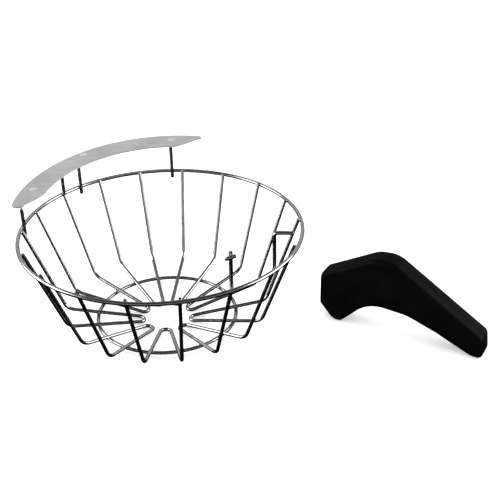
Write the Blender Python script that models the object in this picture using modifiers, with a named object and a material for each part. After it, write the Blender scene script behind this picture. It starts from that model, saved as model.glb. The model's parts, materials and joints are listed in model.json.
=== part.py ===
"""Wire brew basket with a splash guard, and the loose moulded handle that is supplied with it.

The basket is nine wire hairpins between a top ring and a bottom ring. Each hairpin is one bent wire:
down the wall, round a bend, in along the sloping bottom, round a narrow U near the middle, and back.
Three posts carry a flat crescent guard over the rear half of the top ring. Two hairpin legs at the
front and one at the rear run on above the ring as uprights.
The handle stands beside the basket on its heel and its tip.
"""

import math

import bmesh
import bpy
from mathutils import Euler, Matrix, Vector

# Lengths are in metres. Azimuths are in degrees about the basket's axis, from +X towards +Y.
FIT_GAP = 0.0003

RING_RADIUS = 0.088
RING_WIRE = 0.0025
RIB_WIRE = 0.0023
BOTTOM_RING_RADIUS = 0.0451
BOTTOM_RING_WIRE = 0.0023

# Azimuths of each hairpin's two legs at the ring, of the same two at the bottom bend, and of its inner
# U, to half a degree. The hairpins are bent and set by hand, so they are not quite even.
HAIRPINS = (
    ((-139.0, -118.5), (-138.0, -118.0), -129.5),
    ((-99.0, -79.0), (-98.0, -78.0), -90.5),
    ((-59.0, -37.0), (-58.5, -38.0), -50.5),
    ((-18.5, 4.5), (-19.0, 3.0), -10.0),
    ((24.0, 44.5), (23.5, 42.5), 34.0),
    ((64.5, 84.5), (63.0, 83.5), 74.0),
    ((104.5, 124.0), (103.0, 123.5), 114.5),
    ((143.5, 163.5), (143.0, 163.0), 152.0),
    ((182.0, 201.5), (182.0, 201.0), 190.5),
)
RIB_TIP_RISE = 0.0012
BEND_CORNER_RADIUS = 0.0648
BEND_CORNER_DROP = 0.0566
BEND_RADIUS = 0.008
BOTTOM_SLOPE = 10.0
U_APEX_RADIUS = 0.0154
U_HALF_WIDTH = 0.0029
U_BEND_RADIUS = 0.0034

GUARD_OUTER_RADIUS = 0.0922
GUARD_INNER_RADIUS = 0.0756
GUARD_AZIMUTH = 127.0
GUARD_HALF_SPAN = 50.5
# The guard's two ends: which way each lies, how far back it starts to taper, and its width there.
GUARD_ENDS = ((1, 10.0, 0.0083), (-1, 11.0, 0.0036))
GUARD_TAPER_EASE = 1.6
GUARD_THICKNESS = 0.001
GUARD_RISE = 0.0178
GUARD_TILT = 4.3
GUARD_TILT_AZIMUTH = 76.3
POST_FOOT_DROP = 0.0044
POST_BEND_RADIUS = 0.0022
# Each post's azimuth and the length of the end that is turned to lie under the guard.
GUARD_POSTS = {
    "guard_post_left": (178.5, 0.016),
    "guard_post_middle": (133.8, 0.010),
    "guard_post_right": (89.3, 0.010),
}

STOP_HEIGHT = 0.024
STOP_BAR_RISE = 0.0216
STOP_BAR_LENGTH = 0.0066
STOP_BAR_TURN = 92.0
STOP_BAR_SHIFT = 0.0015
HOOK_HEIGHT = 0.0230
HOOK_LENGTH = 0.0112
HOOK_TURN = 33.0

HANDLE_HEEL = (0.1153, -0.0020)
HANDLE_YAW = -28.9
HANDLE_WIDTH = 0.016
HANDLE_EDGE = 0.003
MOUNT_FACE = -0.0130
# The handle's side view, clockwise from below its mounting end: along, up, and corner radius.
# The end runs past the mounting face, which is then cut flat.
HANDLE_OUTLINE = (
    (-0.0210, 0.0180, 0.0050),
    (-0.0210, 0.0284, 0.0050),
    (0.0208, 0.0512, 0.0169),
    (0.0335, 0.0523, 0.0180),
    (0.0932, 0.0140, 0.0041),
    (0.0948, 0.0000, 0.0033),
    (0.0872, 0.0000, 0.0160),
    (0.0645, 0.0100, 0.0311),
    (0.0450, 0.0168, 0.0282),
    (0.0195, 0.0186, 0.0235),
    (0.0010, 0.0000, 0.0045),
    (-0.0047, 0.0000, 0.0075),
)
INSERT_HEIGHTS = {"handle_insert_lower": 0.0160, "handle_insert_upper": 0.0260}
INSERT_RADIUS = 0.0032
INSERT_BORE_RADIUS = 0.0021
INSERT_LENGTH = 0.010
INSERT_CHAMFER = 0.0004
INSERT_SETBACK = 0.0004

WIRE_RESOLUTION = 2
WIRE_BEND_STEPS = 5
HANDLE_BEND_STEPS = 4
CUTTER_LOOK = ((0.8, 0.2, 0.2), 0.0, 0.5)
RIB_RING_RADIUS = RING_RADIUS - RING_WIRE / 2 - RIB_WIRE / 2 - FIT_GAP
FRONT_HAIRPIN = 2
REAR_HAIRPIN = 7


def clear_scene():
    for item in list(bpy.data.objects):
        bpy.data.objects.remove(item)


def new_collection(name):
    collection = bpy.data.collections.new(name)
    bpy.context.scene.collection.children.link(collection)
    return collection


def new_material(name, colour, metallic, roughness):
    material = bpy.data.materials.new(name)
    material.use_nodes = True
    shader = material.node_tree.nodes["Principled BSDF"]
    shader.inputs["Base Color"].default_value = (*colour, 1.0)
    shader.inputs["Metallic"].default_value = metallic
    shader.inputs["Roughness"].default_value = roughness
    return material


def new_empty(name, place, collection):
    empty = bpy.data.objects.new(name, None)
    empty.empty_display_size = 0.02
    empty.location = place
    collection.objects.link(empty)
    return empty


def take(item, name, material, parent, collection):
    """Names an object, gives it its own material and puts it under its parent in its collection."""
    item.name = name
    item.data.materials.clear()
    item.data.materials.append(new_material(name, *material))
    for other in list(item.users_collection):
        other.objects.unlink(item)
    collection.objects.link(item)
    item.parent = parent
    return item


def polar(radius, azimuth, height):
    angle = math.radians(azimuth)
    return Vector((radius * math.cos(angle), radius * math.sin(angle), height))


def turned(corner, before, after, radius, steps):
    """Points on an arc of this radius that rounds off a corner."""
    into = (corner - before).normalized()
    out = (after - corner).normalized()
    turn = into.angle(out)
    start = corner - into * radius * math.tan(turn / 2)
    inward = (out - into * into.dot(out)).normalized()
    arc = []
    for step in range(steps + 1):
        angle = turn * step / steps
        arc.append(start + into * radius * math.sin(angle) + inward * radius * (1 - math.cos(angle)))
    return arc


def bent_route(corners, radii):
    """A route from the first corner to the last that turns on its radius at each corner between."""
    route = [corners[0]]
    for index, radius in enumerate(radii, start=1):
        neighbours = corners[index - 1], corners[index + 1]
        route += turned(corners[index], *neighbours, radius, WIRE_BEND_STEPS)
    route.append(corners[-1])
    return route


def wire_curve(name, route, diameter):
    curve = bpy.data.curves.new(name, "CURVE")
    curve.dimensions = "3D"
    curve.bevel_depth = diameter / 2
    curve.bevel_resolution = WIRE_RESOLUTION
    curve.use_fill_caps = True
    spline = curve.splines.new("POLY")
    spline.points.add(len(route) - 1)
    for point, place in zip(spline.points, route):
        point.co = (*place, 1.0)
    return bpy.data.objects.new(name, curve)


def flat_curve(name, outline, thickness):
    curve = bpy.data.curves.new(name, "CURVE")
    curve.dimensions = "2D"
    curve.fill_mode = "BOTH"
    curve.extrude = thickness / 2
    spline = curve.splines.new("POLY")
    spline.points.add(len(outline) - 1)
    for point, place in zip(spline.points, outline):
        point.co = (place[0], place[1], 0.0, 1.0)
    spline.use_cyclic_u = True
    return bpy.data.objects.new(name, curve)


def guard_rise(place):
    """Height of the guard's middle plane above the top ring's plane."""
    uphill = polar(math.tan(math.radians(GUARD_TILT)), GUARD_TILT_AZIMUTH, 0.0)
    return GUARD_RISE + uphill.dot(Vector((place.x, place.y, 0.0)))


def under_guard(place, clearance):
    return Vector((place.x, place.y, guard_rise(place) - GUARD_THICKNESS / 2 - clearance))


def bottom_drop(radius):
    """How far the bottom legs' centreline lies below the top ring's plane at this radius."""
    return BEND_CORNER_DROP + (BEND_CORNER_RADIUS - radius) * math.tan(math.radians(BOTTOM_SLOPE))


def plain_tip(azimuth):
    return [polar(RIB_RING_RADIUS, azimuth, RIB_TIP_RISE)], []


def guard_tip(azimuth):
    """The leg runs on straight up and ends under the guard."""
    knee = polar(RIB_RING_RADIUS, azimuth, 0.0)
    return [under_guard(knee, 2 * FIT_GAP), knee], [POST_BEND_RADIUS]


def upright_tip(azimuth):
    """The leg runs on straight up and ends free."""
    knee = polar(RIB_RING_RADIUS, azimuth, 0.0)
    return [knee + Vector((0.0, 0.0, STOP_HEIGHT)), knee], [POST_BEND_RADIUS]


def hooked_tip(azimuth):
    """The leg runs on straight up and its end is turned out level."""
    knee = polar(RIB_RING_RADIUS, azimuth, 0.0)
    top = knee + Vector((0.0, 0.0, HOOK_HEIGHT))
    end = top + polar(HOOK_LENGTH, azimuth + HOOK_TURN, 0.0)
    return [end, top, knee], [POST_BEND_RADIUS, POST_BEND_RADIUS]


def make_hairpin(index, collection, parent):
    tops, bends, middle = HAIRPINS[index]
    tips = {
        (FRONT_HAIRPIN, -1): upright_tip,
        (FRONT_HAIRPIN, 1): hooked_tip,
        (REAR_HAIRPIN, -1): guard_tip,
    }
    corners, radii = [], []
    for side, top, bend in zip((-1, 1), tops, bends):
        tip, tip_radii = tips.get((index, side), plain_tip)(top)
        corner = polar(BEND_CORNER_RADIUS, bend, -BEND_CORNER_DROP)
        inner = polar(U_APEX_RADIUS, middle, -bottom_drop(U_APEX_RADIUS))
        inner += polar(U_HALF_WIDTH, middle + side * 90, 0.0)
        half = tip + [corner, inner]
        half_radii = tip_radii + [BEND_RADIUS, U_BEND_RADIUS]
        if side == 1:
            half.reverse()
            half_radii.reverse()
        corners += half
        radii += half_radii
    name = f"rib_hairpin_{index + 1}"
    wire = wire_curve(name, bent_route(corners, radii), RIB_WIRE)
    return take(wire, name, ((0.62, 0.62, 0.63), 1.0, 0.2), parent, collection)


def make_ring(name, radius, wire, height, segments, sides, collection, parent):
    size = {"major_radius": radius, "minor_radius": wire / 2}
    bpy.ops.mesh.primitive_torus_add(**size, major_segments=segments, minor_segments=sides)
    ring = bpy.context.active_object
    ring.data.shade_smooth()
    ring.location = (0.0, 0.0, height)
    return take(ring, name, ((0.66, 0.66, 0.67), 1.0, 0.18), parent, collection)


def guard_outline():
    """A ring's arc whose inner edge runs out to the outer edge at both ends, with rounded tips."""
    arc_steps, tip_steps = 36, 8
    outline = []
    for step in range(arc_steps + 1):
        azimuth = GUARD_HALF_SPAN * (2 * step / arc_steps - 1)
        outline.append(polar(GUARD_OUTER_RADIUS, azimuth, 0.0))
    for side, taper, width in GUARD_ENDS:
        tip = []
        middle = polar(GUARD_OUTER_RADIUS - width / 2, side * GUARD_HALF_SPAN, 0.0)
        for step in range(1, tip_steps + 1):
            swing = side * (GUARD_HALF_SPAN + 180 * step / tip_steps)
            tip.append(middle + polar(width / 2, swing, 0.0))
        inner = []
        for step in range(1, arc_steps // 2):
            azimuth = GUARD_HALF_SPAN * (1 - 2 * step / arc_steps)
            run_out = max(0.0, azimuth - GUARD_HALF_SPAN + taper) / taper
            rise = run_out ** GUARD_TAPER_EASE
            radius = GUARD_INNER_RADIUS + rise * (GUARD_OUTER_RADIUS - width - GUARD_INNER_RADIUS)
            inner.append(polar(radius, side * azimuth, 0.0))
        half = tip + inner
        if side == -1:
            half.reverse()
        outline += half
    return outline


def make_guard(collection, parent):
    guard = flat_curve("splash_guard", guard_outline(), GUARD_THICKNESS)
    tilt_axis = polar(1.0, GUARD_TILT_AZIMUTH - 90, 0.0)
    tilt = Matrix.Rotation(math.radians(GUARD_TILT), 3, tilt_axis)
    swing = Matrix.Rotation(math.radians(GUARD_AZIMUTH), 3, "Z")
    guard.rotation_euler = (tilt @ swing).to_euler()
    guard.location = (0.0, 0.0, GUARD_RISE)
    return take(guard, "splash_guard", ((0.55, 0.55, 0.55), 1.0, 0.45), parent, collection)


def make_guard_post(name, azimuth, foot_length, collection, parent):
    """Stands inside the top ring, and its upper end is turned to lie along under the guard."""
    foot = polar(RIB_RING_RADIUS, azimuth, -POST_FOOT_DROP)
    clearance = RIB_WIRE / 2 + FIT_GAP
    top = under_guard(foot, clearance)
    end = under_guard(foot + polar(foot_length, azimuth - 90, 0.0), clearance)
    wire = wire_curve(name, bent_route([foot, top, end], [POST_BEND_RADIUS]), RIB_WIRE)
    return take(wire, name, ((0.5, 0.5, 0.51), 1.0, 0.25), parent, collection)


def make_stop_bar(collection, parent):
    """A short level bar across the outer side of the free upright."""
    azimuth = HAIRPINS[FRONT_HAIRPIN][0][0]
    along = azimuth + STOP_BAR_TURN
    middle = polar(RIB_RING_RADIUS, azimuth, STOP_BAR_RISE) + polar(RIB_WIRE + FIT_GAP, along - 90, 0.0)
    middle -= polar(STOP_BAR_SHIFT, along, 0.0)
    half = polar(STOP_BAR_LENGTH / 2, along, 0.0)
    wire = wire_curve("stop_bar", [middle - half, middle + half], RIB_WIRE)
    return take(wire, "stop_bar", ((0.5, 0.5, 0.51), 1.0, 0.25), parent, collection)


def make_basket(collection, parent):
    make_ring("top_ring", RING_RADIUS, RING_WIRE, 0.0, 96, 12, collection, parent)
    touch = (RIB_WIRE + BOTTOM_RING_WIRE) / 2 / math.cos(math.radians(BOTTOM_SLOPE)) + FIT_GAP
    height = -bottom_drop(BOTTOM_RING_RADIUS) - touch
    make_ring("bottom_ring", BOTTOM_RING_RADIUS, BOTTOM_RING_WIRE, height, 64, 8, collection, parent)
    for index in range(len(HAIRPINS)):
        make_hairpin(index, collection, parent)
    make_guard(collection, parent)
    for name, (azimuth, foot_length) in GUARD_POSTS.items():
        make_guard_post(name, azimuth, foot_length, collection, parent)
    make_stop_bar(collection, parent)


def inset_corner(corner, before, after, inset):
    """The corner moved inwards so that both its sides move in by the inset, and whether it is convex."""
    into = (corner - before).normalized()
    out = (after - corner).normalized()
    inward = Vector((into.y + out.y, -into.x - out.x, 0.0)).normalized()
    reach = inset / math.cos(into.angle(out) / 2)
    return corner + inward * reach, into.cross(out).z < 0


def handle_core():
    """The handle's side view less its rounded edge, as one closed line with its corners turned."""
    corners = [Vector((along, up, 0.0)) for along, up, _ in HANDLE_OUTLINE]
    count = len(corners)
    core, radii = [], []
    for index, (_, _, radius) in enumerate(HANDLE_OUTLINE):
        neighbours = corners[index - 1], corners[(index + 1) % count]
        corner, convex = inset_corner(corners[index], *neighbours, HANDLE_EDGE)
        core.append(corner)
        radii.append(radius - HANDLE_EDGE if convex else radius + HANDLE_EDGE)
    route = []
    for index in range(count):
        neighbours = core[index - 1], core[(index + 1) % count]
        route += turned(core[index], *neighbours, radii[index], HANDLE_BEND_STEPS)
    return route


def curve_to_mesh(item):
    """The same shape as a mesh object, with the curve's loose caps joined to its sides."""
    bpy.context.scene.collection.objects.link(item)
    bpy.context.view_layer.update()
    evaluated = item.evaluated_get(bpy.context.evaluated_depsgraph_get())
    mesh = bpy.data.meshes.new_from_object(evaluated)
    body = bmesh.new()
    body.from_mesh(mesh)
    bmesh.ops.remove_doubles(body, verts=body.verts, dist=0.000001)
    bmesh.ops.recalc_face_normals(body, faces=body.faces)
    body.to_mesh(mesh)
    body.free()
    solid = bpy.data.objects.new(item.name, mesh)
    solid.matrix_world = item.matrix_world
    bpy.data.objects.remove(item)
    return solid


def insert_cutter(name, height, collection, parent):
    """The blind hole for one insert, which starts clear of the mounting face."""
    lead = 0.002
    depth = INSERT_SETBACK + INSERT_LENGTH + FIT_GAP
    bpy.ops.mesh.primitive_cylinder_add(vertices=24, radius=INSERT_RADIUS + FIT_GAP, depth=depth + lead)
    cutter = bpy.context.active_object
    cutter.rotation_euler = (0.0, math.radians(90), 0.0)
    cutter.location = (MOUNT_FACE + (depth - lead) / 2, 0.0, height)
    cutter.hide_render = True
    cutter.display_type = "WIRE"
    return take(cutter, name, CUTTER_LOOK, parent, collection)


def make_insert(name, height, collection, parent):
    """A brass sleeve with a tapping bore, turned about its own axis."""
    low, high = -INSERT_LENGTH / 2, INSERT_LENGTH / 2
    profile = (
        (INSERT_RADIUS - INSERT_CHAMFER, high),
        (INSERT_RADIUS, high - INSERT_CHAMFER),
        (INSERT_RADIUS, low + INSERT_CHAMFER),
        (INSERT_RADIUS - INSERT_CHAMFER, low),
        (INSERT_BORE_RADIUS, low),
        (INSERT_BORE_RADIUS, high),
    )
    mesh = bpy.data.meshes.new(name)
    loop = [(index, (index + 1) % len(profile)) for index in range(len(profile))]
    mesh.from_pydata([(radius, 0.0, along) for radius, along in profile], loop, [])
    insert = bpy.data.objects.new(name, mesh)
    turn = insert.modifiers.new("turn", "SCREW")
    turn.steps = 24
    turn.render_steps = 24
    turn.use_merge_vertices = True
    turn.merge_threshold = 0.00001
    insert.rotation_euler = (0.0, math.radians(90), 0.0)
    insert.location = (MOUNT_FACE + INSERT_SETBACK + INSERT_LENGTH / 2, 0.0, height)
    return take(insert, name, ((0.7, 0.5, 0.2), 1.0, 0.35), parent, collection)


def face_cutter(collection, parent):
    """The block that cuts the mounting end off flat."""
    size = 0.06
    bpy.ops.mesh.primitive_cube_add(size=size)
    cutter = bpy.context.active_object
    cutter.location = (MOUNT_FACE - size / 2, 0.0, size / 2)
    cutter.hide_render = True
    cutter.display_type = "WIRE"
    return take(cutter, "mounting_face_cut", CUTTER_LOOK, parent, collection)


def cut_away(item, cutter):
    cut = item.modifiers.new(cutter.name, "BOOLEAN")
    cut.operation = "DIFFERENCE"
    cut.object = cutter


def make_handle(collection, cutters, parent):
    outline = flat_curve("handle", handle_core(), HANDLE_WIDTH - 2 * HANDLE_EDGE)
    outline.data.bevel_depth = HANDLE_EDGE
    outline.data.bevel_resolution = 2
    handle = curve_to_mesh(outline)
    handle.rotation_euler = Euler((math.radians(90), 0.0, 0.0))
    handle.data.shade_smooth()
    handle.data.set_sharp_from_angle(angle=math.radians(35))
    take(handle, "handle", ((0.012, 0.012, 0.013), 0.0, 0.42), parent, collection)
    cut_away(handle, face_cutter(cutters, parent))
    for name, height in INSERT_HEIGHTS.items():
        cut_away(handle, insert_cutter(f"{name}_hole", height, cutters, parent))
        make_insert(name, height, collection, parent)


def centre_on_origin(collection, roots):
    """Moves the whole set so that its box stands on z = 0 with the middle of its base at the origin."""
    bpy.context.view_layer.update()
    graph = bpy.context.evaluated_depsgraph_get()
    points = []
    for item in collection.objects:
        if item.type == "EMPTY":
            continue
        evaluated = item.evaluated_get(graph)
        mesh = evaluated.to_mesh()
        points += [evaluated.matrix_world @ vertex.co for vertex in mesh.vertices]
        evaluated.to_mesh_clear()
    low = Vector([min(point[axis] for point in points) for axis in range(3)])
    high = Vector([max(point[axis] for point in points) for axis in range(3)])
    base = Vector(((low.x + high.x) / 2, (low.y + high.y) / 2, low.z))
    for root in roots:
        root.location -= base


def main():
    clear_scene()
    parts = new_collection("wire_brew_basket_and_handle")
    cutters = new_collection("cutters")
    ring_height = bottom_drop(U_APEX_RADIUS) + RIB_WIRE / 2
    basket = new_empty("basket_top_ring_centre", (0.0, 0.0, ring_height), parts)
    handle_lift = new_empty("handle_lift", (*HANDLE_HEEL, 0.0), parts)
    handle_lift.rotation_euler = (0.0, 0.0, math.radians(HANDLE_YAW))
    make_basket(parts, basket)
    make_handle(parts, cutters, handle_lift)
    centre_on_origin(parts, (basket, handle_lift))


main()
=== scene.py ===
"""Looks for the wire brew basket with its splash guard, and for the loose moulded handle beside it."""

import json
import math

import bmesh
import bpy
from mathutils import Matrix, Vector


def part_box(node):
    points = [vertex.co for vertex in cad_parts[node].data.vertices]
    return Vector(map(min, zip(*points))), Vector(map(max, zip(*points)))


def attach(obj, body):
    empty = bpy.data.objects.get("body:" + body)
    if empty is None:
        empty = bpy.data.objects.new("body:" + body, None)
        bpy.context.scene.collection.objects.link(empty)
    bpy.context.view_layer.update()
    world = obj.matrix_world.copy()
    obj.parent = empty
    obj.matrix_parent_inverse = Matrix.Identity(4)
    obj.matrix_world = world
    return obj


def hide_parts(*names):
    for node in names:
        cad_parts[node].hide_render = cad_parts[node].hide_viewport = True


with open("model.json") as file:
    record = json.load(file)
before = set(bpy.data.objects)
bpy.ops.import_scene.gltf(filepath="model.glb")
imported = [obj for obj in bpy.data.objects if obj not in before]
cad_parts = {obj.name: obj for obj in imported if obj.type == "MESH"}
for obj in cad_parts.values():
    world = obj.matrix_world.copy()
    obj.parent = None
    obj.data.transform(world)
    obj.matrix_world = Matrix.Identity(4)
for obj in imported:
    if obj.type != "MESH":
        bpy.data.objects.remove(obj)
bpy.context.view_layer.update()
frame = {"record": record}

# Lengths are in metres. Azimuths are in degrees about the basket's axis, from +X towards +Y.
RING_LOW, RING_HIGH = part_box("top_ring")
RING_CENTRE = (RING_LOW + RING_HIGH) / 2
FIT_GAP = 0.0003
RING_RADIUS = 0.088
RING_WIRE = 0.0025
RIB_WIRE = 0.0023
BOTTOM_RING_RADIUS = 0.0451
BOTTOM_RING_WIRE = 0.0023
# The legs are sunk a little way into the ring by their welds.
LEG_RADIUS = 0.0863

# Azimuths of each hairpin's two legs at the ring, of the same two at the bottom bend, and of its inner
# U, to half a degree. The hairpins are bent and set by hand, so they are not quite even.
HAIRPINS = (
    ((-139.0, -118.5), (-138.0, -118.0), -129.5),
    ((-99.0, -79.0), (-98.0, -78.0), -90.5),
    ((-59.0, -37.0), (-58.5, -38.0), -50.5),
    ((-18.5, 4.5), (-19.0, 3.0), -10.0),
    ((24.0, 44.5), (23.5, 42.5), 34.0),
    ((64.5, 84.5), (63.0, 83.5), 74.0),
    ((104.5, 124.0), (103.0, 123.5), 114.5),
    ((143.5, 163.5), (143.0, 163.0), 152.0),
    ((182.0, 201.5), (182.0, 201.0), 190.5),
)
FRONT_HAIRPIN = 2
REAR_HAIRPIN = 7
RIB_TIP_RISE = 0.0012
BEND_CORNER_RADIUS = 0.0648
BEND_CORNER_DROP = 0.0566
BEND_RADIUS = 0.008
BOTTOM_SLOPE = 10.0
U_APEX_RADIUS = 0.0154
U_HALF_WIDTH = 0.0029
U_BEND_RADIUS = 0.0034

GUARD_OUTER_RADIUS = 0.0922
GUARD_INNER_RADIUS = 0.0756
GUARD_AZIMUTH = 127.0
GUARD_HALF_SPAN = 50.5
# The guard's two ends: which way each lies, how far back it starts to taper, and its width there.
GUARD_ENDS = ((1, 10.0, 0.0083), (-1, 11.0, 0.0036))
GUARD_TAPER_EASE = 1.6
GUARD_THICKNESS = 0.001
GUARD_EDGE = 0.00025
GUARD_RISE = 0.0178
GUARD_TILT = 4.3
GUARD_TILT_AZIMUTH = 76.3
# Where the posts are welded through to the guard's top: radius and azimuth.
GUARD_WELDS = ((0.0848, 165.0), (0.088, 130.0), (0.0856, 88.6))
GUARD_WELD_RADIUS = 0.0026
GUARD_WELD_HEIGHT = 0.0003
GUARD_WELD_SIDES = 28
# Shares of the spot's radius and height, from its sunk rim up over its lip and down into its dish.
GUARD_WELD_PROFILE = ((1.0, -0.5), (0.92, 0.25), (0.7, 0.75), (0.45, 0.72), (0.22, 0.45))
POST_FOOT_DROP = 0.0044
POST_BEND_RADIUS = 0.0022
GUARD_POSTS = {
    "guard_post_left": (177.8, 0.016),
    "guard_post_middle": (133.8, 0.010),
    "guard_post_right": (89.3, 0.010),
}

STOP_HEIGHT = 0.024
STOP_BAR_RISE = 0.0216
STOP_BAR_LENGTH = 0.0066
STOP_BAR_TURN = 92.0
STOP_BAR_SHIFT = 0.0015
HOOK_HEIGHT = 0.0230
HOOK_LENGTH = 0.0112
HOOK_TURN = 33.0

HANDLE_WIDTH = 0.016
HANDLE_EDGE = 0.003
HANDLE_CORNER_STEPS = 16
HANDLE_EDGE_STEPS = 7
MOUNT_FACE = -0.0130
# The side view's corners: along, up, and the radius that rounds each one.
HANDLE_OUTLINE = (
    (-0.0210, 0.0180, 0.0050),
    (-0.0210, 0.0284, 0.0050),
    (0.0208, 0.0512, 0.0169),
    (0.0335, 0.0523, 0.0180),
    (0.0932, 0.0140, 0.0041),
    (0.0948, 0.0000, 0.0033),
    (0.0872, 0.0000, 0.0160),
    (0.0645, 0.0100, 0.0311),
    (0.0450, 0.0168, 0.0282),
    (0.0195, 0.0186, 0.0235),
    (0.0010, 0.0000, 0.0045),
    (-0.0047, 0.0000, 0.0075),
)
INSERT_HEIGHTS = {"handle_insert_lower": 0.0160, "handle_insert_upper": 0.0260}
INSERT_RADIUS = 0.0032
INSERT_BORE_RADIUS = 0.0021
INSERT_LENGTH = 0.010
INSERT_CHAMFER = 0.0004
INSERT_SETBACK = 0.0004
INSERT_SIDES = 72
INSERT_HOLE_SIDES = 64
# How far the cutter of an insert's hole stands out of the mounting face.
HOLE_LEAD = 0.002
THREAD_PITCH = 0.0008
THREAD_DEPTH = 0.0003
# The middle of the thread's ridge stands this far in from the bore's wall, and the thread starts this
# far from the insert's mouth.
THREAD_STANDOFF = 0.00005
THREAD_LEAD = 0.0005
THREAD_SIDES = 24
KNURL_DEPTH = 0.00008
PARTING_GROOVE = 0.00018

WIRE_RESOLUTION = 4
WIRE_BEND_STEPS = 12
# A cut wire end narrows to this share of its thickness, over this share of its diameter.
WIRE_END_SHARE = 0.72
WIRE_END_LENGTH = 0.12

# A weld nugget's patches swing through these degrees around each wire. They narrow on the way, and
# would close to a point at the second angle.
WELD_SWINGS = range(-60, 61, 20)
WELD_POINT_SWING = 75.0
WELD_SHARES = (-1.0, -0.5, 0.0, 0.5, 1.0)
RING_WELD_REACH = 0.0011
SMALL_WELD_REACH = 0.0009

MERGE_DISTANCE = 0.0000015
SHORTEST_EDGE = 0.000001
SHARP_ANGLE = 38.0

# The camera stands at this place from the top ring's centre, and looks down by its rise.
CAMERA_PLACE = (0.05502, -0.50323, 0.26395)
CAMERA_RISE = 29.15
CAMERA_ROLL = -1.11
CAMERA_LENS = 65.5


# Node materials

def new_material(name):
    material = bpy.data.materials.new(name)
    material.use_nodes = True
    tree = material.node_tree
    return material, tree.nodes, tree.links, tree.nodes["Principled BSDF"]


def noise(nodes, links, scale, detail, stretch=(1.0, 1.0, 1.0), seed=0.0):
    """Noise in object space, at this scale per metre, squeezed along the axes by the stretch."""
    place = nodes.new("ShaderNodeTexCoord")
    mapping = nodes.new("ShaderNodeMapping")
    mapping.inputs["Scale"].default_value = stretch
    mapping.inputs["Location"].default_value = (seed, seed * 0.7, seed * 1.3)
    texture = nodes.new("ShaderNodeTexNoise")
    texture.inputs["Scale"].default_value = scale
    texture.inputs["Detail"].default_value = detail
    links.new(place.outputs["Object"], mapping.inputs["Vector"])
    links.new(mapping.outputs["Vector"], texture.inputs["Vector"])
    return texture.outputs["Fac"]


def ramp(nodes, links, value, stops):
    """A colour ramp from position and grey level, or position and colour."""
    node = nodes.new("ShaderNodeValToRGB")
    band = node.color_ramp
    while len(band.elements) < len(stops):
        band.elements.new(0.5)
    for element, (position, colour) in zip(band.elements, stops):
        element.position = position
        element.color = (*colour, 1.0) if isinstance(colour, tuple) else (colour, colour, colour, 1.0)
    links.new(value, node.inputs["Fac"])
    return node.outputs["Color"]


def bump(nodes, links, shader, height, strength, distance):
    node = nodes.new("ShaderNodeBump")
    node.inputs["Strength"].default_value = strength
    node.inputs["Distance"].default_value = distance
    links.new(height, node.inputs["Height"])
    links.new(node.outputs["Normal"], shader.inputs["Normal"])


def plated_wire(name, light, dark):
    """Bright plated wire: faint cloudy stains, fine drawing marks and a slightly uneven polish."""
    material, nodes, links, shader = new_material(name)
    shader.inputs["Metallic"].default_value = 1.0
    clouds = noise(nodes, links, 90.0, 4.0, seed=3.0)
    tone = ramp(nodes, links, clouds, ((0.32, dark), (0.62, light)))
    links.new(tone, shader.inputs["Base Color"])
    polish = noise(nodes, links, 420.0, 3.0, seed=9.0)
    rough = ramp(nodes, links, polish, ((0.3, 0.13), (0.7, 0.24)))
    links.new(rough, shader.inputs["Roughness"])
    drawn = noise(nodes, links, 1400.0, 2.0, stretch=(1.0, 1.0, 0.12), seed=1.0)
    bump(nodes, links, shader, drawn, 0.12, 0.00004)
    return material


def weld_metal():
    """Blotchy dull metal of the nuggets that join the wires."""
    material, nodes, links, shader = new_material("weld_metal")
    shader.inputs["Metallic"].default_value = 1.0
    blotches = noise(nodes, links, 900.0, 4.0, seed=5.0)
    stops = (0.3, (0.2, 0.2, 0.205)), (0.55, (0.34, 0.33, 0.32)), (0.8, (0.5, 0.49, 0.48))
    tint = ramp(nodes, links, blotches, stops)
    links.new(tint, shader.inputs["Base Color"])
    rough = ramp(nodes, links, blotches, ((0.2, 0.55), (0.8, 0.3)))
    links.new(rough, shader.inputs["Roughness"])
    bump(nodes, links, shader, blotches, 0.35, 0.0001)
    return material


def sheet_steel():
    """Dull stainless sheet with fine rolling grain and soft stains."""
    material, nodes, links, shader = new_material("guard_sheet_steel")
    shader.inputs["Metallic"].default_value = 0.45
    stains = noise(nodes, links, 45.0, 5.0, seed=2.0)
    tone = ramp(nodes, links, stains, ((0.3, 0.52), (0.55, 0.61), (0.75, 0.67)))
    grain = noise(nodes, links, 900.0, 3.0, stretch=(0.08, 1.0, 1.0), seed=7.0)
    grain_tone = ramp(nodes, links, grain, ((0.3, 0.8), (0.7, 1.0)))
    mix = nodes.new("ShaderNodeMix")
    mix.data_type = "RGBA"
    mix.blend_type = "MULTIPLY"
    mix.inputs["Factor"].default_value = 1.0
    links.new(tone, mix.inputs["A"])
    links.new(grain_tone, mix.inputs["B"])
    links.new(mix.outputs["Result"], shader.inputs["Base Color"])
    rough = ramp(nodes, links, stains, ((0.3, 0.5), (0.7, 0.38)))
    links.new(rough, shader.inputs["Roughness"])
    bump(nodes, links, shader, grain, 0.1, 0.00004)
    return material


def weld_spot():
    """Pale metal of the round spots on the guard."""
    material, nodes, links, shader = new_material("guard_weld_spot")
    shader.inputs["Metallic"].default_value = 0.6
    spots = noise(nodes, links, 700.0, 3.0, seed=4.0)
    tone = ramp(nodes, links, spots, ((0.3, 0.8), (0.7, 0.95)))
    links.new(tone, shader.inputs["Base Color"])
    shader.inputs["Roughness"].default_value = 0.4
    bump(nodes, links, shader, spots, 0.3, 0.0001)
    return material


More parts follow.
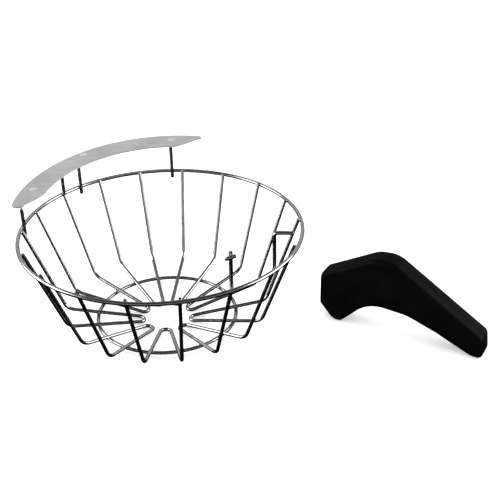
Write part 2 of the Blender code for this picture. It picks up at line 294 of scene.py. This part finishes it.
def moulded_plastic():
    """Black moulded plastic: a fine spark grain, rubbed a little smoother in places."""
    material, nodes, links, shader = new_material("handle_black_plastic")
    shader.inputs["Metallic"].default_value = 0.0
    shader.inputs["Specular IOR Level"].default_value = 0.045
    clouds = noise(nodes, links, 60.0, 4.0, seed=6.0)
    tone = ramp(nodes, links, clouds, ((0.3, (0.0015, 0.0015, 0.0016)), (0.7, (0.003, 0.003, 0.0032))))
    links.new(tone, shader.inputs["Base Color"])
    rough = ramp(nodes, links, clouds, ((0.25, 0.56), (0.75, 0.44)))
    links.new(rough, shader.inputs["Roughness"])
    grain = noise(nodes, links, 2600.0, 3.0, seed=8.0)
    bump(nodes, links, shader, grain, 0.28, 0.00006)
    return material


def brass():
    """Slightly tarnished brass."""
    material, nodes, links, shader = new_material("insert_brass")
    shader.inputs["Metallic"].default_value = 1.0
    tarnish = noise(nodes, links, 500.0, 4.0, seed=11.0)
    tone = ramp(nodes, links, tarnish, ((0.3, (0.52, 0.34, 0.12)), (0.7, (0.78, 0.57, 0.26))))
    links.new(tone, shader.inputs["Base Color"])
    rough = ramp(nodes, links, tarnish, ((0.3, 0.42), (0.7, 0.28)))
    links.new(rough, shader.inputs["Roughness"])
    bump(nodes, links, shader, tarnish, 0.15, 0.00005)
    return material


def studio_floor():
    material, nodes, links, shader = new_material("studio_floor")
    paper = noise(nodes, links, 6.0, 3.0)
    tone = ramp(nodes, links, paper, ((0.3, 0.9), (0.7, 0.93)))
    links.new(tone, shader.inputs["Base Color"])
    shader.inputs["Roughness"].default_value = 0.9
    shader.inputs["Specular IOR Level"].default_value = 0.1
    shader.inputs["Emission Color"].default_value = (1.0, 1.0, 1.0, 1.0)
    shader.inputs["Emission Strength"].default_value = 0.4
    return material


# Shapes

def polar(radius, azimuth, height):
    angle = math.radians(azimuth)
    return Vector((radius * math.cos(angle), radius * math.sin(angle), height))


def turned(corner, before, after, radius, steps):
    """Points on an arc of this radius that rounds off a corner."""
    into = (corner - before).normalized()
    out = (after - corner).normalized()
    turn = into.angle(out)
    start = corner - into * radius * math.tan(turn / 2)
    inward = (out - into * into.dot(out)).normalized()
    arc = []
    for step in range(steps + 1):
        angle = turn * step / steps
        arc.append(start + into * radius * math.sin(angle) + inward * radius * (1 - math.cos(angle)))
    return arc


def bent_route(corners, radii):
    route = [corners[0]]
    for index, radius in enumerate(radii, start=1):
        route += turned(corners[index], corners[index - 1], corners[index + 1], radius, WIRE_BEND_STEPS)
    route.append(corners[-1])
    return route


def finished(item, name, material, body, replaced=()):
    """Turns a curve or mesh object into a clean closed mesh piece that rides on its body."""
    bpy.context.view_layer.update()
    mesh = bpy.data.meshes.new_from_object(item.evaluated_get(bpy.context.evaluated_depsgraph_get()))
    mesh.transform(item.matrix_world)
    work = bmesh.new()
    work.from_mesh(mesh)
    bmesh.ops.remove_doubles(work, verts=work.verts, dist=MERGE_DISTANCE)
    bmesh.ops.dissolve_degenerate(work, edges=work.edges, dist=SHORTEST_EDGE)
    bmesh.ops.recalc_face_normals(work, faces=work.faces)
    work.to_mesh(mesh)
    work.free()
    bpy.data.objects.remove(item)
    mesh.materials.clear()
    mesh.materials.append(material)
    mesh.shade_smooth()
    mesh.set_sharp_from_angle(angle=math.radians(SHARP_ANGLE))
    piece = bpy.data.objects.new(name, mesh)
    bpy.context.scene.collection.objects.link(piece)
    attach(piece, body)
    if replaced:
        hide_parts(*replaced)
    return piece


def shown(item):
    bpy.context.scene.collection.objects.link(item)
    return item


def wire_curve(name, route, diameter, closed=False):
    """A round wire whose cut ends are slightly eased."""
    ease = diameter * WIRE_END_LENGTH
    sizes = [1.0] * len(route)
    if not closed:
        first = (route[1] - route[0]).normalized() * ease
        last = (route[-2] - route[-1]).normalized() * ease
        route = [route[0], route[0] + first, *route[1:-1], route[-1] + last, route[-1]]
        sizes = [WIRE_END_SHARE, 1.0, *sizes[1:-1], 1.0, WIRE_END_SHARE]
    curve = bpy.data.curves.new(name, "CURVE")
    curve.dimensions = "3D"
    curve.bevel_depth = diameter / 2
    curve.bevel_resolution = WIRE_RESOLUTION
    curve.use_fill_caps = not closed
    spline = curve.splines.new("POLY")
    spline.points.add(len(route) - 1)
    for point, place, size in zip(spline.points, route, sizes):
        point.co = (*place, 1.0)
        point.radius = size
    spline.use_cyclic_u = closed
    return shown(bpy.data.objects.new(name, curve))


def flat_curve(name, outline, thickness, edge, edge_steps):
    """A flat plate of this outline and thickness, with its edges rounded outwards from the outline."""
    curve = bpy.data.curves.new(name, "CURVE")
    curve.dimensions = "2D"
    curve.fill_mode = "BOTH"
    curve.extrude = thickness / 2 - edge
    curve.bevel_depth = edge
    curve.bevel_resolution = edge_steps
    spline = curve.splines.new("POLY")
    spline.points.add(len(outline) - 1)
    for point, place in zip(spline.points, outline):
        point.co = (place[0], place[1], 0.0, 1.0)
    spline.use_cyclic_u = True
    return shown(bpy.data.objects.new(name, curve))


def guard_rise(place):
    uphill = polar(math.tan(math.radians(GUARD_TILT)), GUARD_TILT_AZIMUTH, 0.0)
    return GUARD_RISE + uphill.dot(Vector((place.x, place.y, 0.0)))


def under_guard(place, clearance):
    return Vector((place.x, place.y, guard_rise(place) - GUARD_THICKNESS / 2 - clearance))


def bottom_drop(radius):
    return BEND_CORNER_DROP + (BEND_CORNER_RADIUS - radius) * math.tan(math.radians(BOTTOM_SLOPE))


def plain_tip(azimuth):
    return [polar(LEG_RADIUS, azimuth, RIB_TIP_RISE)], []


def guard_tip(azimuth):
    knee = polar(LEG_RADIUS, azimuth, 0.0)
    return [under_guard(knee, 0.0), knee], [POST_BEND_RADIUS]


def upright_tip(azimuth):
    knee = polar(LEG_RADIUS, azimuth, 0.0)
    return [knee + Vector((0.0, 0.0, STOP_HEIGHT)), knee], [POST_BEND_RADIUS]


def hooked_tip(azimuth):
    knee = polar(LEG_RADIUS, azimuth, 0.0)
    top = knee + Vector((0.0, 0.0, HOOK_HEIGHT))
    end = top + polar(HOOK_LENGTH, azimuth + HOOK_TURN, 0.0)
    return [end, top, knee], [POST_BEND_RADIUS, POST_BEND_RADIUS]


TIPS = {(FRONT_HAIRPIN, -1): upright_tip, (FRONT_HAIRPIN, 1): hooked_tip, (REAR_HAIRPIN, -1): guard_tip}


def bottom_leg(index, side):
    """The two ends of a leg's run under the basket: its bend and its turn into the inner U."""
    _, bends, middle = HAIRPINS[index]
    bend = bends[1] if side == 1 else bends[0]
    outer = polar(BEND_CORNER_RADIUS, bend, -BEND_CORNER_DROP)
    inner = polar(U_APEX_RADIUS, middle, -bottom_drop(U_APEX_RADIUS))
    return outer, inner + polar(U_HALF_WIDTH, middle + side * 90, 0.0)


def hairpin_route(index):
    corners, radii = [], []
    for side, top in zip((-1, 1), HAIRPINS[index][0]):
        tip, tip_radii = TIPS.get((index, side), plain_tip)(top)
        half = [*tip, *bottom_leg(index, side)]
        half_radii = tip_radii + [BEND_RADIUS, U_BEND_RADIUS]
        if side == 1:
            half.reverse()
            half_radii.reverse()
        corners += half
        radii += half_radii
    return bent_route(corners, radii)


def placed(route):
    """The route moved from the top ring's centre to where the basket stands."""
    return [RING_CENTRE + point for point in route]


def weld(work, middle_a, along_a, radius_a, middle_b, along_b, radius_b, reach):
    """Adds a nugget of weld between two wires: the hull of the patches that face each other."""
    toward = (middle_b - middle_a).normalized()
    points = []
    for middle, along, radius, facing in (
        (middle_a, along_a, radius_a, toward), (middle_b, along_b, radius_b, -toward)
    ):
        along = along.normalized()
        facing = (facing - along * facing.dot(along)).normalized()
        side = along.cross(facing)
        for swing in WELD_SWINGS:
            angle = math.radians(swing)
            spread = reach * math.sqrt(1.0 - (swing / WELD_POINT_SWING) ** 2)
            lump = 1.0 + 0.05 * math.sin(swing * 0.3 + middle.x * 9000.0 + middle.y * 5000.0)
            out = (facing * math.cos(angle) + side * math.sin(angle)) * radius * lump
            for share in WELD_SHARES:
                points.append(work.verts.new(middle + out + along * spread * share))
    hull = bmesh.ops.convex_hull(work, input=points)
    leftover = hull["geom_interior"] + hull["geom_unused"]
    loose = {item for item in leftover if isinstance(item, bmesh.types.BMVert)}
    bmesh.ops.delete(work, geom=list(loose), context="VERTS")


def make_rings(ring_look):
    for name, radius, wire, height, segments in (
        ("top_ring", RING_RADIUS, RING_WIRE, 0.0, 240),
        ("bottom_ring", BOTTOM_RING_RADIUS, BOTTOM_RING_WIRE, bottom_ring_height(), 160),
    ):
        route = [polar(radius, 360.0 * step / segments, height) for step in range(segments)]
        ring = wire_curve(name + "_route", placed(route), wire, closed=True)
        finished(ring, name + "_wire", ring_look, "basket", (name,))


def bottom_ring_height():
    touch = (RIB_WIRE + BOTTOM_RING_WIRE) / 2 / math.cos(math.radians(BOTTOM_SLOPE)) + FIT_GAP
    return -bottom_drop(BOTTOM_RING_RADIUS) - touch


def guard_outline():
    arc_steps, tip_steps = 120, 16
    outer = GUARD_OUTER_RADIUS - GUARD_EDGE
    inner_radius = GUARD_INNER_RADIUS + GUARD_EDGE
    outline = []
    for step in range(arc_steps + 1):
        azimuth = GUARD_HALF_SPAN * (2 * step / arc_steps - 1)
        outline.append(polar(outer, azimuth, 0.0))
    for side, taper, full_width in GUARD_ENDS:
        width = full_width - 2 * GUARD_EDGE
        tip = []
        middle = polar(outer - width / 2, side * GUARD_HALF_SPAN, 0.0)
        for step in range(1, tip_steps + 1):
            swing = side * (GUARD_HALF_SPAN + 180 * step / tip_steps)
            tip.append(middle + polar(width / 2, swing, 0.0))
        inner = []
        for step in range(1, arc_steps // 2):
            azimuth = GUARD_HALF_SPAN * (1 - 2 * step / arc_steps)
            run_out = max(0.0, azimuth - GUARD_HALF_SPAN + taper) / taper
            radius = inner_radius + run_out ** GUARD_TAPER_EASE * (outer - width - inner_radius)
            inner.append(polar(radius, side * azimuth, 0.0))
        half = tip + inner
        if side == -1:
            half.reverse()
        outline += half
    return outline


def make_guard(sheet_look, spot_look):
    guard = flat_curve("guard_route", guard_outline(), GUARD_THICKNESS, GUARD_EDGE, 3)
    tilt_axis = polar(1.0, GUARD_TILT_AZIMUTH - 90, 0.0)
    tilt = Matrix.Rotation(math.radians(GUARD_TILT), 3, tilt_axis)
    swing = Matrix.Rotation(math.radians(GUARD_AZIMUTH), 3, "Z")
    guard.rotation_euler = (tilt @ swing).to_euler()
    guard.location = RING_CENTRE + Vector((0.0, 0.0, GUARD_RISE))
    finished(guard, "splash_guard_plate", sheet_look, "basket", ("splash_guard",))

    make_guard_welds(tilt, spot_look)


def make_guard_welds(tilt, spot_look):
    """For each post's weld, a low round spot with a dished middle on top of the guard."""
    work = bmesh.new()
    for radius, azimuth in GUARD_WELDS:
        spot = polar(radius, azimuth, 0.0)
        base = Vector((spot.x, spot.y, guard_rise(spot) + GUARD_THICKNESS / 2))
        rings = []
        for share, height in GUARD_WELD_PROFILE:
            ring = []
            for step in range(GUARD_WELD_SIDES):
                angle = 2 * math.pi * step / GUARD_WELD_SIDES
                wobble = 1.0 + 0.05 * math.sin(3 * angle + azimuth) + 0.03 * math.sin(7 * angle)
                reach = GUARD_WELD_RADIUS * share * wobble
                lift = height * GUARD_WELD_HEIGHT
                flat = Vector((math.cos(angle) * reach, math.sin(angle) * reach, lift))
                ring.append(work.verts.new(RING_CENTRE + base + tilt @ flat))
            rings.append(ring)
        for low, high in zip(rings, rings[1:]):
            for step in range(GUARD_WELD_SIDES):
                after = (step + 1) % GUARD_WELD_SIDES
                work.faces.new((low[step], low[after], high[after], high[step]))
        work.faces.new(rings[-1])
        work.faces.new(list(reversed(rings[0])))
    mesh = bpy.data.meshes.new("guard_weld_spots_mesh")
    work.to_mesh(mesh)
    work.free()
    spots = shown(bpy.data.objects.new("guard_weld_spots_work", mesh))
    finished(spots, "guard_weld_spots", spot_look, "basket")


def stop_bar_place():
    azimuth = HAIRPINS[FRONT_HAIRPIN][0][0]
    along = azimuth + STOP_BAR_TURN
    crossing = polar(LEG_RADIUS, azimuth, STOP_BAR_RISE) + polar(RIB_WIRE, along - 90, 0.0)
    return azimuth, along, crossing


def make_posts(post_look):
    for name, (azimuth, foot_length) in GUARD_POSTS.items():
        foot = polar(LEG_RADIUS, azimuth, -POST_FOOT_DROP)
        clearance = RIB_WIRE / 2 + FIT_GAP
        top = under_guard(foot, clearance)
        end = under_guard(foot + polar(foot_length, azimuth - 90, 0.0), clearance)
        route = placed(bent_route([foot, top, end], [POST_BEND_RADIUS]))
        post = wire_curve(name + "_route", route, RIB_WIRE)
        finished(post, name + "_wire", post_look, "basket", (name,))
    _, along, crossing = stop_bar_place()
    middle = crossing - polar(STOP_BAR_SHIFT, along, 0.0)
    half = polar(STOP_BAR_LENGTH / 2, along, 0.0)
    bar = wire_curve("stop_bar_route", placed([middle - half, middle + half]), RIB_WIRE)
    finished(bar, "stop_bar_wire", post_look, "basket", ("stop_bar",))


def ring_crossing(outer, inner):
    """Where a bottom leg passes over the bottom ring."""
    run = inner - outer
    flat, start = Vector((run.x, run.y)), Vector((outer.x, outer.y))
    half = start.dot(flat)
    excess = start.length_squared - BOTTOM_RING_RADIUS ** 2
    share = (-half - math.sqrt(half ** 2 - flat.length_squared * excess)) / flat.length_squared
    return outer + run * share


def make_welds(weld_look):
    work = bmesh.new()
    rib, ring = RIB_WIRE / 2, RING_WIRE / 2
    up = Vector((0.0, 0.0, 1.0))
    at_ring = [azimuth for tops, _, _ in HAIRPINS for azimuth in tops]
    at_ring += [azimuth for azimuth, _ in GUARD_POSTS.values()]
    for azimuth in at_ring:
        on_ring = RING_CENTRE + polar(RING_RADIUS, azimuth, 0.0)
        on_leg = RING_CENTRE + polar(LEG_RADIUS, azimuth, 0.0)
        round_ring = polar(1.0, azimuth + 90, 0.0)
        weld(work, on_leg, up, rib, on_ring, round_ring, ring, RING_WELD_REACH)
    for index in range(len(HAIRPINS)):
        for side in (-1, 1):
            outer, inner = bottom_leg(index, side)
            crossing = ring_crossing(outer, inner)
            azimuth = math.degrees(math.atan2(crossing.y, crossing.x))
            on_ring = RING_CENTRE + Vector((crossing.x, crossing.y, bottom_ring_height()))
            round_ring = polar(1.0, azimuth + 90, 0.0)
            on_leg = RING_CENTRE + crossing
            low_ring = BOTTOM_RING_WIRE / 2
            weld(work, on_leg, inner - outer, rib, on_ring, round_ring, low_ring, SMALL_WELD_REACH)
    azimuth, along, crossing = stop_bar_place()
    on_post = RING_CENTRE + polar(LEG_RADIUS, azimuth, STOP_BAR_RISE)
    on_bar = RING_CENTRE + crossing
    weld(work, on_post, up, rib, on_bar, polar(1.0, along, 0.0), rib, SMALL_WELD_REACH)
    mesh = bpy.data.meshes.new("weld_nuggets_mesh")
    work.to_mesh(mesh)
    work.free()
    nuggets = shown(bpy.data.objects.new("weld_nuggets_work", mesh))
    rounded = nuggets.modifiers.new("rounded", "SUBSURF")
    rounded.levels = 1
    rounded.render_levels = 1
    finished(nuggets, "weld_nuggets", weld_look, "basket")


# The handle is made in its own frame: along it, across it and up, from the heel that it stands on.

def handle_frame():
    """Found from the mounting face: the handle lies behind it, on the floor."""
    mount = next(m for m in frame["record"]["mounts"] if m["name"] == "handle_mounting_face")
    along = -Vector(mount["axis"]).normalized()
    across = Vector((0.0, 0.0, 1.0)).cross(along)
    heel = Vector(mount["pos_m"]) - along * MOUNT_FACE
    turn = Matrix((along, across, (0.0, 0.0, 1.0))).transposed().to_4x4()
    return Matrix.Translation((heel.x, heel.y, 0.0)) @ turn


def inset_corner(corner, before, after, inset):
    into = (corner - before).normalized()
    out = (after - corner).normalized()
    inward = Vector((into.y + out.y, -into.x - out.x, 0.0)).normalized()
    reach = inset / math.cos(into.angle(out) / 2)
    return corner + inward * reach, into.cross(out).z < 0


def handle_line(inset):
    """The handle's side view moved in by the inset, as one closed line with its corners turned."""
    corners = [Vector((along, up, 0.0)) for along, up, _ in HANDLE_OUTLINE]
    count = len(corners)
    core, radii = [], []
    for index, (_, _, radius) in enumerate(HANDLE_OUTLINE):
        neighbours = corners[index - 1], corners[(index + 1) % count]
        corner, convex = inset_corner(corners[index], *neighbours, inset)
        core.append(corner)
        radii.append(radius - inset if convex else radius + inset)
    route = []
    for index in range(count):
        before, after = core[index - 1], core[(index + 1) % count]
        route += turned(core[index], before, after, radii[index], HANDLE_CORNER_STEPS)
    return route


def cut_away(item, cutter):
    cut = item.modifiers.new(cutter.name, "BOOLEAN")
    cut.operation = "DIFFERENCE"
    cut.object = cutter
    cutter.hide_render = True


def handle_cutters(place):
    """What is taken off the moulding: all past its mounting face, the insert holes, and the groove."""
    size = 0.06
    bpy.ops.mesh.primitive_cube_add(size=size)
    block = bpy.context.active_object
    block.matrix_world = place @ Matrix.Translation((MOUNT_FACE - size / 2, 0.0, size / 2))
    cutters = [block]
    depth = INSERT_SETBACK + INSERT_LENGTH + FIT_GAP
    length = depth + HOLE_LEAD
    radius = INSERT_RADIUS + FIT_GAP / 3
    turn = Matrix.Rotation(math.radians(90), 4, "Y")
    for height in INSERT_HEIGHTS.values():
        bpy.ops.mesh.primitive_cylinder_add(vertices=INSERT_HOLE_SIDES, radius=radius, depth=length)
        hole = bpy.context.active_object
        middle = Matrix.Translation((MOUNT_FACE + (depth - HOLE_LEAD) / 2, 0.0, height))
        hole.matrix_world = place @ middle @ turn
        cutters.append(hole)
    route = [place @ Vector((point.x, 0.0, point.y)) for point in handle_line(0.0)]
    groove = wire_curve("parting_groove", route, 2 * PARTING_GROOVE, closed=True)
    groove.data.bevel_resolution = 1
    mesh = bpy.data.meshes.new_from_object(groove.evaluated_get(bpy.context.evaluated_depsgraph_get()))
    bpy.data.objects.remove(groove)
    cutters.append(shown(bpy.data.objects.new("parting_groove_cutter", mesh)))
    return cutters


def make_handle(plastic, metal):
    place = handle_frame()
    side_view = handle_line(HANDLE_EDGE)
    outline = flat_curve("handle_route", side_view, HANDLE_WIDTH, HANDLE_EDGE, HANDLE_EDGE_STEPS)
    mesh = bpy.data.meshes.new_from_object(outline.evaluated_get(bpy.context.evaluated_depsgraph_get()))
    bpy.data.objects.remove(outline)
    work = bmesh.new()
    work.from_mesh(mesh)
    bmesh.ops.remove_doubles(work, verts=work.verts, dist=SHORTEST_EDGE)
    bmesh.ops.recalc_face_normals(work, faces=work.faces)
    work.to_mesh(mesh)
    work.free()
    body = shown(bpy.data.objects.new("handle_work", mesh))
    body.matrix_world = place @ Matrix.Rotation(math.radians(90), 4, "X")
    cutters = handle_cutters(place)
    for cutter in cutters:
        cut_away(body, cutter)
    finished(body, "handle_moulding", plastic, "handle", ("handle",))
    for cutter in cutters:
        bpy.data.objects.remove(cutter)
    for name, height in INSERT_HEIGHTS.items():
        make_insert(name, height, metal, place)


def make_insert(name, height, metal, place):
    """A brass sleeve with a knurled outside and a cut thread inside."""
    mouth = MOUNT_FACE + INSERT_SETBACK
    work = bmesh.new()
    bore = INSERT_BORE_RADIUS + THREAD_DEPTH
    profile = (
        (bore, 0.0),
        (INSERT_RADIUS - INSERT_CHAMFER, 0.0),
        (INSERT_RADIUS, INSERT_CHAMFER),
        (INSERT_RADIUS, INSERT_LENGTH - INSERT_CHAMFER),
        (INSERT_RADIUS - INSERT_CHAMFER, INSERT_LENGTH),
        (bore, INSERT_LENGTH),
        (bore, INSERT_LENGTH * 0.5),
    )
    rings = []
    for radius, along in profile:
        ring = []
        for step in range(INSERT_SIDES):
            angle = 2 * math.pi * step / INSERT_SIDES
            knurl = KNURL_DEPTH if radius == INSERT_RADIUS and step % 2 else 0.0
            reach = radius - knurl
            across, up = math.cos(angle) * reach, math.sin(angle) * reach
            ring.append(work.verts.new((mouth + along, across, height + up)))
        rings.append(ring)
    for index, ring in enumerate(rings):
        following = rings[(index + 1) % len(rings)]
        for step in range(INSERT_SIDES):
            after = (step + 1) % INSERT_SIDES
            work.faces.new((ring[step], ring[after], following[after], following[step]))
    bmesh.ops.recalc_face_normals(work, faces=work.faces)
    mesh = bpy.data.meshes.new(name + "_mesh")
    work.to_mesh(mesh)
    work.free()
    sleeve = shown(bpy.data.objects.new(name + "_work", mesh))
    sleeve.matrix_world = place
    finished(sleeve, name + "_sleeve", metal, "handle", (name,))
    make_thread(name, height, metal, place, mouth, bore)


def make_thread(name, height, metal, place, mouth, bore):
    """The ridge of a cut thread, wound along the bore and half sunk into its wall."""
    turns = int((INSERT_LENGTH - 2 * THREAD_LEAD) / THREAD_PITCH)
    route = []
    for step in range(turns * THREAD_SIDES + 1):
        angle = 2 * math.pi * step / THREAD_SIDES
        reach = bore - THREAD_STANDOFF
        along = mouth + THREAD_LEAD + THREAD_PITCH * step / THREAD_SIDES
        across, up = math.cos(angle) * reach, math.sin(angle) * reach
        route.append(place @ Vector((along, across, height + up)))
    thread = wire_curve(name + "_thread_route", route, 2 * THREAD_DEPTH)
    thread.data.bevel_resolution = 1
    finished(thread, name + "_thread", metal, "handle")


# Studio

def make_floor():
    bpy.ops.mesh.primitive_plane_add(size=80.0)
    floor = bpy.context.active_object
    floor.name = "studio_floor"
    floor.data.materials.append(studio_floor())
    floor.visible_glossy = False


def area_light(name, place, target, size, power, glossy):
    light = bpy.data.lights.new(name, "AREA")
    light.shape = "RECTANGLE"
    light.size, light.size_y = size
    light.energy = power
    item = shown(bpy.data.objects.new(name, light))
    item.location = place
    item.rotation_mode = "QUATERNION"
    item.rotation_quaternion = (Vector(target) - Vector(place)).to_track_quat("-Z", "Y")
    item.visible_glossy = glossy
    return item


def make_lights():
    """An overhead light for the floor, and a softbox on each side that shows in the bright wire."""
    centre = (0.0, 0.0, 0.03)
    area_light("overhead", (0.0, 0.0, 1.6), centre, (2.6, 2.6), 36.0, False)
    area_light("softbox_left", (-1.1, 0.05, 0.42), centre, (0.9, 0.8), 9.0, True)
    area_light("softbox_right", (1.1, 0.05, 0.42), centre, (0.9, 0.8), 9.0, True)


def make_world():
    """Grey bands that the wires mirror, different in front of the object and behind it."""
    world = bpy.data.worlds.new("studio_world")
    bpy.context.scene.world = world
    world.use_nodes = True
    nodes, links = world.node_tree.nodes, world.node_tree.links
    backdrop = nodes["Background"]
    direction = nodes.new("ShaderNodeTexCoord")
    split = nodes.new("ShaderNodeSeparateXYZ")
    links.new(direction.outputs["Generated"], split.inputs["Vector"])
    height = split.outputs["Z"]
    depth = split.outputs["Y"]
    blend = nodes.new("ShaderNodeMix")
    blend.data_type = "RGBA"
    in_front = ramp(nodes, links, height, ((0.0, 0.004), (0.01, 0.3), (0.2, 0.5), (0.4, 0.04)))
    stops = (0.0, 0.004), (0.01, 0.3), (0.2, 0.46), (0.55, 0.4), (0.75, 0.05)
    behind = ramp(nodes, links, height, stops)
    links.new(ramp(nodes, links, depth, ((0.0, 0.0), (0.4, 1.0))), blend.inputs["Factor"])
    links.new(in_front, blend.inputs["A"])
    links.new(behind, blend.inputs["B"])
    links.new(blend.outputs["Result"], backdrop.inputs["Color"])
    backdrop.inputs["Strength"].default_value = 1.0


def make_camera():
    """The camera stands in front of the basket and above it, turned very slightly about its own view."""
    rise = math.radians(CAMERA_RISE)
    roll = math.radians(CAMERA_ROLL)
    back = Vector((0.0, -math.cos(rise), math.sin(rise)))
    level = Vector((1.0, 0.0, 0.0))
    upward = Vector((0.0, math.sin(rise), math.cos(rise)))
    right = level * math.cos(roll) + upward * math.sin(roll)
    up = upward * math.cos(roll) - level * math.sin(roll)
    lens = bpy.data.cameras.new("camera")
    lens.lens = CAMERA_LENS
    lens.sensor_width = 36.0
    lens.clip_start = 0.01
    lens.clip_end = 100.0
    camera = shown(bpy.data.objects.new("camera", lens))
    place = RING_CENTRE + Vector(CAMERA_PLACE)
    turn = Matrix((right, up, back)).transposed().to_4x4()
    camera.matrix_world = Matrix.Translation(place) @ turn
    bpy.context.scene.camera = camera


def main():
    ring_look = plated_wire("ring_bright_wire", 0.72, 0.58)
    rib_look = plated_wire("rib_bright_wire", 0.66, 0.5)
    post_look = plated_wire("post_bright_wire", 0.58, 0.42)
    make_rings(ring_look)
    for index in range(len(HAIRPINS)):
        name = f"rib_hairpin_{index + 1}"
        rib = wire_curve(name + "_route", placed(hairpin_route(index)), RIB_WIRE)
        finished(rib, name + "_wire", rib_look, "basket", (name,))
    make_guard(sheet_steel(), weld_spot())
    make_posts(post_look)
    make_welds(weld_metal())
    make_handle(moulded_plastic(), brass())
    make_floor()
    make_lights()
    make_world()
    make_camera()
    bpy.context.scene.view_settings.view_transform = "Standard"


main()
